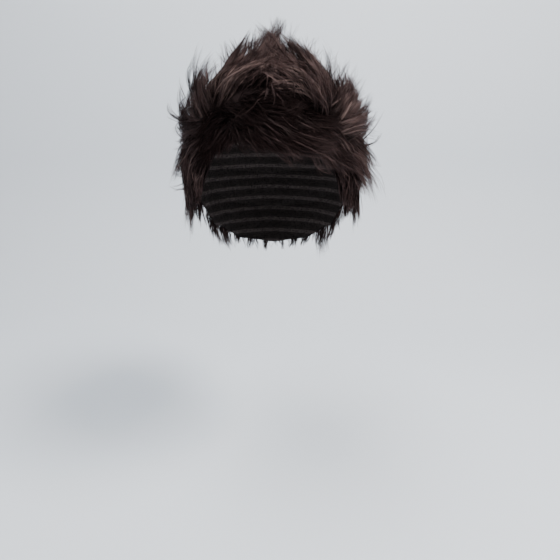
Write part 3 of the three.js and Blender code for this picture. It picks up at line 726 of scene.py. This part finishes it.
def strand_mesh(name, points, tone, width, seed):
    """A joined mesh of the strands' ribbons. Each is a row of quads and a triangle at the tip."""
    vertices = ribbons(points, width, seed)
    count, per_strand = vertices.shape[:2]
    quads = len(STATIONS) - 2
    first = np.arange(count)[:, None, None] * per_strand
    ring = np.arange(quads)[None, :, None] * 2
    sides = first + ring + np.array([0, 1, 3, 2])[None, None, :]
    tips = first + quads * 2 + np.array([0, 1, 2])[None, None, :]
    loops = np.concatenate([sides.reshape(count, -1), tips.reshape(count, -1)], 1)
    sizes = np.tile(np.array([4] * quads + [3]), count)
    starts = np.concatenate([[0], np.cumsum(sizes)[:-1]])
    # Strands darkened as painted shade, and the darkest at random, take the duller fibre.
    darkest_and_shaded = np.repeat(tone < DARKEST_AND_SHADED_TONE, quads + 1)

    mesh = bpy.data.meshes.new(name)
    mesh.vertices.add(count * per_strand)
    mesh.vertices.foreach_set("co", vertices.astype(np.float32).ravel())
    mesh.loops.add(loops.size)
    mesh.loops.foreach_set("vertex_index", loops.astype(np.int32).ravel())
    mesh.polygons.add(len(sizes))
    mesh.polygons.foreach_set("loop_start", starts.astype(np.int32))
    mesh.update(calc_edges=True)
    mesh.polygons.foreach_set("use_smooth", np.ones(len(sizes), bool))
    mesh.polygons.foreach_set("material_index", darkest_and_shaded.astype(np.int32))
    layer = mesh.uv_layers.new(name=STRAND_MAP)
    layer.uv.foreach_set("vector", ribbon_map(tone)[loops.ravel()].astype(np.float32).ravel())
    mesh.validate()
    return mesh


def node_tree(name):
    """A new material, its node tree and its Principled shader."""
    material = bpy.data.materials.new(name)
    material.use_nodes = True
    return material, material.node_tree, material.node_tree.nodes["Principled BSDF"]


def ramp(tree, value, stops):
    """The colours of a value, by a ramp through places and linear colours."""
    node = tree.nodes.new("ShaderNodeValToRGB")
    while len(node.color_ramp.elements) < len(stops):
        node.color_ramp.elements.new(0.5)
    for element, (place, colour) in zip(node.color_ramp.elements, stops):
        element.position = place
        element.color = (*colour, 1.0)
    tree.links.new(value, node.inputs[0])
    return node.outputs["Color"]


def multiplied(tree, first, second):
    """The product of two colours."""
    product = tree.nodes.new("ShaderNodeMix")
    product.data_type = "RGBA"
    product.blend_type = "MULTIPLY"
    product.inputs["Factor"].default_value = 1.0
    tree.links.new(first, product.inputs["A"])
    tree.links.new(second, product.inputs["B"])
    return product.outputs["Result"]


def hair_material(name, gloss):
    """Dark brown fibre: each strand has its own tone, with painted shade at the root that lightens to its
    tip.
    """
    material, tree, shader = node_tree(name)
    place = tree.nodes.new("ShaderNodeUVMap")
    place.uv_map = STRAND_MAP
    parts = tree.nodes.new("ShaderNodeSeparateXYZ")
    tree.links.new(place.outputs["UV"], parts.inputs[0])
    tone = ramp(tree, parts.outputs["X"], HAIR_TONES)
    length = ramp(tree, parts.outputs["Y"], HAIR_ROOT_SHADE)
    tree.links.new(multiplied(tree, tone, length), shader.inputs["Base Color"])
    shader.inputs["Roughness"].default_value = 0.5
    shader.inputs["Specular IOR Level"].default_value = gloss
    shader.inputs["Specular Tint"].default_value = (1.0, 0.82, 0.79, 1.0)
    return material


def outside_of_cap(tree, place):
    """A value of 1 on the cap's outside and 0 on its inside, by the way that its surface faces."""
    surface = tree.nodes.new("ShaderNodeNewGeometry")
    from_middle = tree.nodes.new("ShaderNodeVectorMath")
    from_middle.operation = "SUBTRACT"
    from_middle.inputs[1].default_value = (0.0, 0.0, -CROWN)
    tree.links.new(place, from_middle.inputs[0])
    outward = tree.nodes.new("ShaderNodeVectorMath")
    outward.operation = "DOT_PRODUCT"
    tree.links.new(from_middle.outputs["Vector"], outward.inputs[0])
    tree.links.new(surface.outputs["Normal"], outward.inputs[1])
    outside = tree.nodes.new("ShaderNodeMath")
    outside.operation = "GREATER_THAN"
    outside.inputs[1].default_value = 0.0
    tree.links.new(outward.outputs["Value"], outside.inputs[0])
    return outside.outputs["Value"]


def net_material():
    """Matt dark net with the sewn rows of the wefts as raised bands. Under the hair it is plain near-black,
    for the roots and their painted shade.
    """
    material, tree, shader = node_tree("cap_net")
    place = tree.nodes.new("ShaderNodeTexCoord").outputs["Object"]
    rows = tree.nodes.new("ShaderNodeTexWave")
    rows.bands_direction = "Z"
    rows.inputs["Scale"].default_value = 26.0
    rows.inputs["Distortion"].default_value = 0.6
    tree.links.new(place, rows.inputs["Vector"])
    net = tree.nodes.new("ShaderNodeTexVoronoi")
    net.feature = "DISTANCE_TO_EDGE"
    net.inputs["Scale"].default_value = 480.0
    tree.links.new(place, net.inputs["Vector"])
    cord = ramp(tree, net.outputs["Distance"], NET_CORDS)
    band = ramp(tree, rows.outputs["Fac"], NET_BANDS)
    # Painted shade: the cap's outside, under the hair, is near-black like the hair's roots in shade.
    covered = tree.nodes.new("ShaderNodeMix")
    covered.data_type = "RGBA"
    covered.inputs["B"].default_value = ROOTS_AND_SHADE_UNDER_HAIR
    tree.links.new(outside_of_cap(tree, place), covered.inputs["Factor"])
    tree.links.new(multiplied(tree, cord, band), covered.inputs["A"])
    tree.links.new(covered.outputs["Result"], shader.inputs["Base Color"])
    bump = tree.nodes.new("ShaderNodeBump")
    bump.inputs["Strength"].default_value = 0.4
    bump.inputs["Distance"].default_value = 0.0006
    tree.links.new(band, bump.inputs["Height"])
    tree.links.new(bump.outputs["Normal"], shader.inputs["Normal"])
    shader.inputs["Roughness"].default_value = 0.9
    shader.inputs["Specular IOR Level"].default_value = 0.05
    return material


def link(name, data):
    """A new object of the scene with this data."""
    piece = bpy.data.objects.new(name, data)
    bpy.context.scene.collection.objects.link(piece)
    return piece


def make_hair():
    """Each section of hair, in the place of its solid."""
    fibres = [hair_material(name, gloss) for name, gloss in HAIR_GLOSS.items()]
    for number, name in enumerate(SECTIONS):
        points, tone, width = section_strands(name, STRAND_SEED + number)
        mesh = strand_mesh(f"{name}_strands", points, tone, width, ROLL_SEED + number)
        for fibre in fibres:
            mesh.materials.append(fibre)
        piece = link(f"{name}_strands", mesh)
        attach(piece, "root")
        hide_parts(name)


def make_camera():
    """The photograph's view: from in front at the height of the eyes, tilted down."""
    data = bpy.data.cameras.new("camera")
    data.sensor_width = SENSOR
    data.lens = SENSOR * FOCAL_PIXELS / PHOTO_PIXELS
    data.clip_start = 0.01
    camera = link("camera", data)
    camera.location = CAMERA_PLACE
    camera.rotation_euler = (math.radians(90 - CAMERA_TILT), 0.0, 0.0)
    bpy.context.scene.camera = camera


def area_light(name, place, aim, size, power, colour):
    """A square lamp that faces its aim."""
    data = bpy.data.lights.new(name, "AREA")
    data.size = size
    data.energy = power
    data.color = colour
    lamp = link(name, data)
    lamp.location = place
    toward = np.array(aim) - np.array(place)
    yaw = math.atan2(toward[1], toward[0]) - math.pi / 2
    pitch = math.atan2(toward[2], math.hypot(toward[0], toward[1])) + math.pi / 2
    lamp.rotation_euler = (pitch, 0.0, yaw)


def make_backdrop():
    """A pale floor that curves up into a wall."""
    profile = [(-STUDIO_REACH, FLOOR)]
    for step in range(BEND_STEPS + 1):
        turn = math.radians(90 * step / BEND_STEPS)
        profile.append((WALL - BEND + BEND * math.sin(turn), FLOOR + BEND * (1 - math.cos(turn))))
    profile.append((WALL, STUDIO_REACH))
    vertices = [(x, y, z) for y, z in profile for x in (-STUDIO_REACH, STUDIO_REACH)]
    faces = [(2 * i, 2 * i + 1, 2 * i + 3, 2 * i + 2) for i in range(len(profile) - 1)]
    mesh = bpy.data.meshes.new("backdrop")
    mesh.from_pydata(vertices, [], faces)
    mesh.polygons.foreach_set("use_smooth", [True] * len(faces))
    material, tree, shader = node_tree("backdrop_paper")
    grain = tree.nodes.new("ShaderNodeTexNoise")
    grain.inputs["Scale"].default_value = 6.0
    tree.links.new(ramp(tree, grain.outputs["Fac"], PAPER_TINTS), shader.inputs["Base Color"])
    shader.inputs["Roughness"].default_value = 0.9
    mesh.materials.append(material)
    link("backdrop", mesh)


def make_lights():
    """Soft light from above, a weak fill and a pale sky."""
    world = bpy.data.worlds.new("studio")
    bpy.context.scene.world = world
    world.use_nodes = True
    sky = world.node_tree.nodes["Background"]
    sky.inputs["Color"].default_value = (0.90, 0.95, 1.0, 1.0)
    sky.inputs["Strength"].default_value = 0.35
    for name, lamp in LAMPS.items():
        area_light(name, *lamp)


make_camera()
make_backdrop()
make_lights()
make_hair()
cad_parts["wig_cap"].data.materials[0] = net_material()
